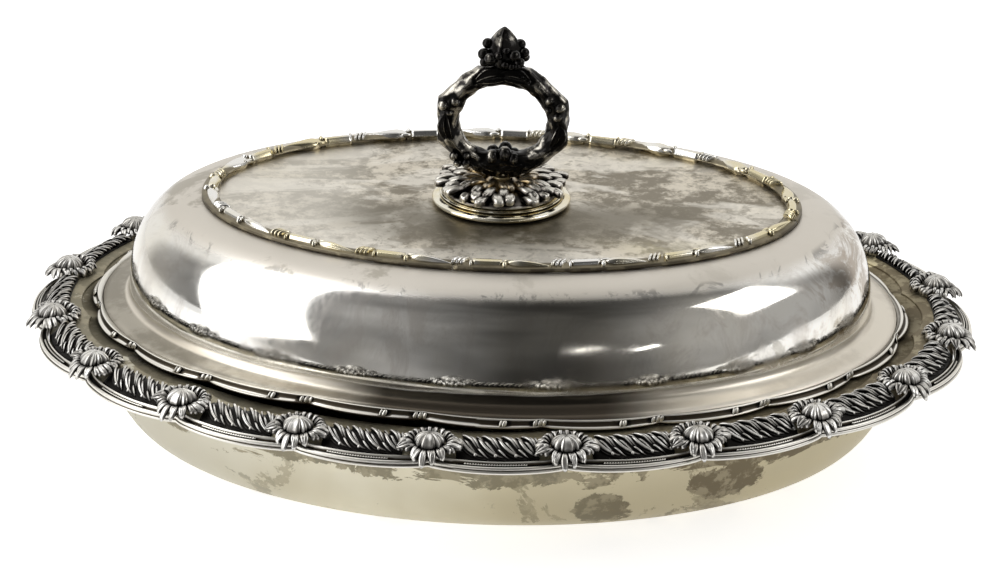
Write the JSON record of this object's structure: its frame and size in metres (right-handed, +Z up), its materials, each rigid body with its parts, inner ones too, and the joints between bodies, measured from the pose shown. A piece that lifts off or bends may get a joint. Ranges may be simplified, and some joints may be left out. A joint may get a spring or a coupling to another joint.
{
  "type": "covered vegetable dish",
  "caption": "Oval silver-plated covered vegetable dish with a lobed rim of cast flowers and leaf garlands, a domed lid and an unscrewing ring handle.",
  "frame": {"origin": "centre of the flat base of the dish, on the surface that it stands on", "axes": "+X along the long axis of the oval, to the right in the picture, +Y away from the camera, +Z up through the handle"},
  "size_m": [0.3162, 0.247, 0.1408],
  "materials": {
    "satin_plate": "silver plate, satin with tarnish",
    "bright_plate": "silver plate, bright, softly scratched",
    "bright_moulding": "silver plate, bright moulding",
    "oxidised_ornament": "silver plate, black in the recesses",
    "dark_casting": "silver-plated casting, heavily oxidised",
    "worn_collar": "silver plate worn to a yellowish tint",
    "bare_brass": "unplated brass, dull"
  },
  "bodies": {
    "dish": {"dish_body": "satin_plate", "dish_edge_bead": "bright_moulding", "rim_flower_01": "oxidised_ornament", "rim_flower_02": "oxidised_ornament", "rim_flower_03": "oxidised_ornament", "rim_flower_04": "oxidised_ornament", "rim_flower_05": "oxidised_ornament", "rim_flower_06": "oxidised_ornament", "rim_flower_07": "oxidised_ornament", "rim_flower_08": "oxidised_ornament", "rim_flower_09": "oxidised_ornament", "rim_flower_10": "oxidised_ornament", "rim_flower_11": "oxidised_ornament", "rim_flower_12": "oxidised_ornament", "rim_flower_13": "oxidised_ornament", "rim_flower_14": "oxidised_ornament", "rim_flower_15": "oxidised_ornament", "rim_flower_16": "oxidised_ornament", "rim_flower_17": "oxidised_ornament", "rim_flower_18": "oxidised_ornament", "rim_flower_19": "oxidised_ornament", "rim_flower_20": "oxidised_ornament", "rim_garland_01": "oxidised_ornament", "rim_garland_02": "oxidised_ornament", "rim_garland_03": "oxidised_ornament", "rim_garland_04": "oxidised_ornament", "rim_garland_05": "oxidised_ornament", "rim_garland_06": "oxidised_ornament", "rim_garland_07": "oxidised_ornament", "rim_garland_08": "oxidised_ornament", "rim_garland_09": "oxidised_ornament", "rim_garland_10": "oxidised_ornament", "rim_garland_11": "oxidised_ornament", "rim_garland_12": "oxidised_ornament", "rim_garland_13": "oxidised_ornament", "rim_garland_14": "oxidised_ornament", "rim_garland_15": "oxidised_ornament", "rim_garland_16": "oxidised_ornament", "rim_garland_17": "oxidised_ornament", "rim_garland_18": "oxidised_ornament", "rim_garland_19": "oxidised_ornament", "rim_garland_20": "oxidised_ornament"},
    "lid": {"lid_shell": "bright_plate", "lid_edge_moulding": "bright_moulding", "lid_bush": "bare_brass", "lid_foot_border_1": "oxidised_ornament", "lid_foot_border_2": "oxidised_ornament", "lid_foot_border_3": "oxidised_ornament", "lid_foot_border_4": "oxidised_ornament"},
    "collar": {"handle_collar": "worn_collar"},
    "handle": {"handle_rosette": "dark_casting", "handle_ring": "dark_casting", "handle_finial": "dark_casting", "handle_stud": "bare_brass"}
  },
  "joints": [
    {"name": "lid_lift", "type": "slide", "parent": "dish", "child": "lid", "axis": [0, 0, 1], "range_m": [0, 0.15]},
    {"name": "handle_rise", "type": "slide", "parent": "lid", "child": "collar", "axis": [0, 0, 1], "range_m": [0, 0.0075]},
    {"name": "handle_turn", "type": "hinge", "parent": "collar", "child": "handle", "pos_m": [-0.001, 0, 0.09], "axis": [0, 0, 1], "range_deg": [0, 2160]}
  ],
  "couplings": [
    {"joint": "handle_turn", "follows": "handle_rise", "rad_per_m": 5026.5}
  ]
}
